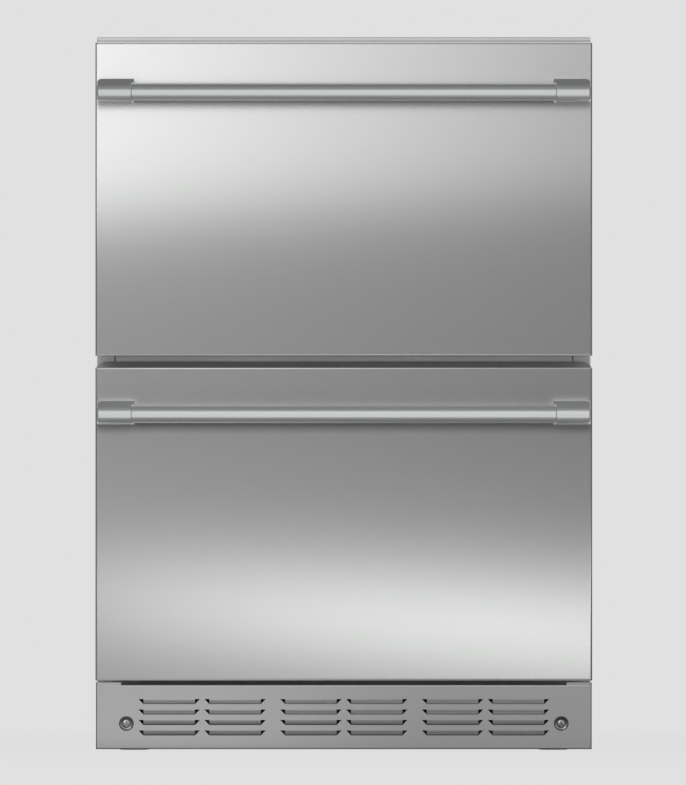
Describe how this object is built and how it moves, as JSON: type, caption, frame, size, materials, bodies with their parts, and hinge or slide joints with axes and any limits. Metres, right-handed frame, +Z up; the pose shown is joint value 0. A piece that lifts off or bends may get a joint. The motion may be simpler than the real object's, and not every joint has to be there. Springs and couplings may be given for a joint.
{
  "type": "undercounter drawer refrigerator",
  "caption": "Built-in undercounter refrigerator with stacked stainless drawers, bar handles and a louvred toe grille; the drawers open on telescopic slides.",
  "frame": {"origin": "on the floor, at the middle of the footprint of the whole object, handles included", "axes": "+X to the right and +Y to the back as seen from in front of the drawers, +Z up"},
  "size_m": [0.603, 0.6684, 0.867],
  "materials": {
    "brushed_steel": "satin",
    "cabinet_steel": "satin",
    "galvanised_steel": "satin",
    "foam": "matte",
    "liner_plastic": "satin",
    "gasket_rubber": "matte",
    "dark_plastic": "satin",
    "black_paint": "satin",
    "copper_tube": "satin",
    "aluminium": "satin",
    "clear_plastic": "gloss",
    "screw_steel": "polished"
  },
  "bodies": {
    "cabinet": {"outer_wrapper": "cabinet_steel", "back_panel": "galvanised_steel", "foam_insulation": "foam", "inner_liner": "liner_plastic", "cross_rail": "cabinet_steel", "base_pan": "galvanised_steel", "toe_grille": "brushed_steel", "grille_screw_left": "screw_steel", "grille_screw_right": "screw_steel", "compressor": "black_paint", "condenser_coil": "copper_tube", "condenser_fan_shroud": "galvanised_steel", "condenser_fan_motor": "black_paint", "evaporator_coil": "copper_tube", "evaporator_cover": "liner_plastic", "evaporator_fan_motor": "black_paint", "drain_pan": "dark_plastic", "control_panel": "dark_plastic", "light_bar": "clear_plastic", "power_inlet": "dark_plastic", "upper_slide_outer_left": "galvanised_steel", "upper_slide_outer_right": "galvanised_steel", "lower_slide_outer_left": "galvanised_steel", "lower_slide_outer_right": "galvanised_steel"},
    "drawer_upper": {"upper_front_skin": "brushed_steel", "upper_front_core": "foam", "upper_inner_panel": "liner_plastic", "upper_gasket": "gasket_rubber", "upper_handle_bar": "brushed_steel", "upper_handle_post_left": "brushed_steel", "upper_handle_post_right": "brushed_steel", "upper_bin": "cabinet_steel", "upper_slide_inner_left": "galvanised_steel", "upper_slide_inner_right": "galvanised_steel"},
    "drawer_lower": {"lower_front_skin": "brushed_steel", "lower_front_core": "foam", "lower_inner_panel": "liner_plastic", "lower_gasket": "gasket_rubber", "lower_handle_bar": "brushed_steel", "lower_handle_post_left": "brushed_steel", "lower_handle_post_right": "brushed_steel", "lower_bin": "cabinet_steel", "lower_slide_inner_left": "galvanised_steel", "lower_slide_inner_right": "galvanised_steel"},
    "slide_middle_upper": {"upper_slide_middle_left": "galvanised_steel", "upper_slide_middle_right": "galvanised_steel"},
    "slide_middle_lower": {"lower_slide_middle_left": "galvanised_steel", "lower_slide_middle_right": "galvanised_steel"},
    "divider_upper": {"upper_divider": "clear_plastic"},
    "divider_lower": {"lower_divider": "clear_plastic"},
    "fan_condenser": {"condenser_fan_blade": "aluminium"},
    "fan_evaporator": {"evaporator_fan_blade": "dark_plastic"},
    "foot_front_left": {"foot_front_left": "dark_plastic"},
    "foot_front_right": {"foot_front_right": "dark_plastic"},
    "foot_rear_left": {"foot_rear_left": "dark_plastic"},
    "foot_rear_right": {"foot_rear_right": "dark_plastic"},
    "key_power": {"key_power": "clear_plastic"},
    "key_light": {"key_light": "clear_plastic"},
    "key_warmer": {"key_warmer": "clear_plastic"},
    "key_cooler": {"key_cooler": "clear_plastic"}
  },
  "joints": [
    {"name": "drawer_upper_slide", "type": "slide", "parent": "cabinet", "child": "drawer_upper", "axis": [0, -1, 0], "range_m": [0, 0.395]},
    {"name": "drawer_lower_slide", "type": "slide", "parent": "cabinet", "child": "drawer_lower", "axis": [0, -1, 0], "range_m": [0, 0.395]},
    {"name": "slide_upper_middle", "type": "slide", "parent": "cabinet", "child": "slide_middle_upper", "axis": [0, -1, 0], "range_m": [0, 0.1975]},
    {"name": "slide_lower_middle", "type": "slide", "parent": "cabinet", "child": "slide_middle_lower", "axis": [0, -1, 0], "range_m": [0, 0.1975]},
    {"name": "divider_upper_slide", "type": "slide", "parent": "drawer_upper", "child": "divider_upper", "axis": [1, 0, 0], "range_m": [-0.225, 0.225]},
    {"name": "divider_lower_slide", "type": "slide", "parent": "drawer_lower", "child": "divider_lower", "axis": [1, 0, 0], "range_m": [-0.225, 0.225]},
    {"name": "fan_condenser_spin", "type": "hinge", "parent": "cabinet", "child": "fan_condenser", "pos_m": [-0.12, 0.15, 0.104], "axis": [0, 1, 0], "continuous": true},
    {"name": "fan_evaporator_spin", "type": "hinge", "parent": "cabinet", "child": "fan_evaporator", "pos_m": [0, 0.24, 0.762], "axis": [0, 1, 0], "continuous": true},
    {"name": "foot_front_left_adjust", "type": "slide", "parent": "cabinet", "child": "foot_front_left", "axis": [0, 0, -1], "range_m": [0, 0.025]},
    {"name": "foot_front_right_adjust", "type": "slide", "parent": "cabinet", "child": "foot_front_right", "axis": [0, 0, -1], "range_m": [0, 0.025]},
    {"name": "foot_rear_left_adjust", "type": "slide", "parent": "cabinet", "child": "foot_rear_left", "axis": [0, 0, -1], "range_m": [0, 0.025]},
    {"name": "foot_rear_right_adjust", "type": "slide", "parent": "cabinet", "child": "foot_rear_right", "axis": [0, 0, -1], "range_m": [0, 0.025]},
    {"name": "key_power_press", "type": "slide", "parent": "cabinet", "child": "key_power", "axis": [0, 1, 0], "range_m": [0, 0.0012], "stiffness_N_per_m": 800, "springref_m": -0.0005},
    {"name": "key_light_press", "type": "slide", "parent": "cabinet", "child": "key_light", "axis": [0, 1, 0], "range_m": [0, 0.0012], "stiffness_N_per_m": 800, "springref_m": -0.0005},
    {"name": "key_warmer_press", "type": "slide", "parent": "cabinet", "child": "key_warmer", "axis": [0, 1, 0], "range_m": [0, 0.0012], "stiffness_N_per_m": 800, "springref_m": -0.0005},
    {"name": "key_cooler_press", "type": "slide", "parent": "cabinet", "child": "key_cooler", "axis": [0, 1, 0], "range_m": [0, 0.0012], "stiffness_N_per_m": 800, "springref_m": -0.0005}
  ],
  "couplings": [
    {"joint": "slide_upper_middle", "follows": "drawer_upper_slide", "ratio": 0.5},
    {"joint": "slide_lower_middle", "follows": "drawer_lower_slide", "ratio": 0.5}
  ]
}
